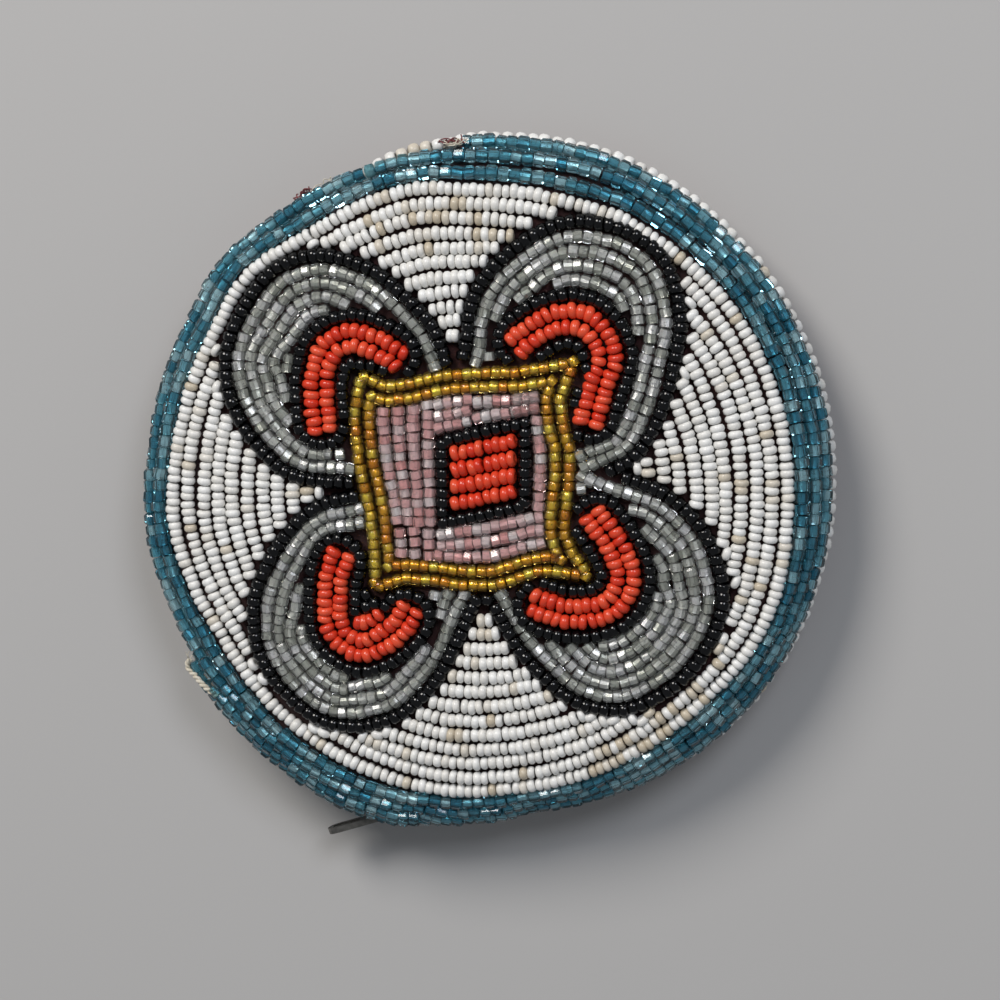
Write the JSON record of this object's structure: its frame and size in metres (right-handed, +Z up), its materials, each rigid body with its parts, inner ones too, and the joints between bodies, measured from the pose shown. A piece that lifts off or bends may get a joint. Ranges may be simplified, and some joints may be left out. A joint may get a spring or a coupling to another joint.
{
  "type": "beaded coin purse",
  "caption": "Round coin purse of red felt, its domed front covered with glass bead rows in a four-petal flower on white with a blue border, and a zip along part of the rim.",
  "frame": {"origin": "middle of the flat face of the back panel that the purse lies on", "axes": "+Z up out of the beaded front, +Y towards the top of the flower, +X to its right"},
  "size_m": [0.1019, 0.1056, 0.0186],
  "materials": {
    "felt": "dark red wool felt",
    "white_beads": "opaque white glass seed beads, a few of them cream",
    "blue_beads": "transparent blue cut glass beads",
    "black_beads": "opaque black cut glass beads",
    "silver_beads": "silver-lined crystal cut glass beads",
    "coral_beads": "opaque coral red glass seed beads",
    "gold_beads": "silver-lined amber cut glass beads",
    "pink_beads": "translucent pink glass beads",
    "zip_tape": "woven dark red tape",
    "zip_metal": "dull nickel plate"
  },
  "bodies": {
    "purse": {"front_panel": "felt", "back_panel": "felt", "white_ground": "white_beads", "petal_outline_upper_left": "black_beads", "petal_outline_upper_right": "black_beads", "petal_outline_lower_left": "black_beads", "petal_outline_lower_right": "black_beads", "petal_fill_upper_left": "silver_beads", "petal_fill_upper_right": "silver_beads", "petal_fill_lower_left": "silver_beads", "petal_fill_lower_right": "silver_beads", "crescent_outline_upper_left": "black_beads", "crescent_outline_upper_right": "black_beads", "crescent_outline_lower_left": "black_beads", "crescent_outline_lower_right": "black_beads", "crescent_upper_left": "coral_beads", "crescent_upper_right": "coral_beads", "crescent_lower_left": "coral_beads", "crescent_lower_right": "coral_beads", "gold_frame": "gold_beads", "pink_field": "pink_beads", "centre_outline": "black_beads", "centre_rows": "coral_beads", "border_row_1": "blue_beads", "border_row_2": "blue_beads", "border_row_3": "blue_beads", "rim_edging": "white_beads", "zip_tape_front": "zip_tape", "zip_tape_back": "zip_tape", "zip_chain_front": "zip_metal", "zip_chain_back": "zip_metal", "zip_bottom_stop": "zip_metal", "zip_top_stop_front": "zip_metal", "zip_top_stop_back": "zip_metal"},
    "slider": {"zip_slider": "zip_metal"},
    "pull_tab": {"zip_pull": "zip_metal"}
  },
  "joints": [
    {"name": "zip_slide", "type": "hinge", "parent": "purse", "child": "slider", "pos_m": [0, 0, 0.0075], "axis": [0, 0, 1], "range_deg": [-128, 0], "deforming": ["zip_chain_front", "zip_chain_back"]},
    {"name": "pull_swing", "type": "hinge", "parent": "slider", "child": "pull_tab", "pos_m": [-0.00162, -0.04627, 0.0075], "axis": [0, 0, 1], "range_deg": [-18, 115]}
  ]
}
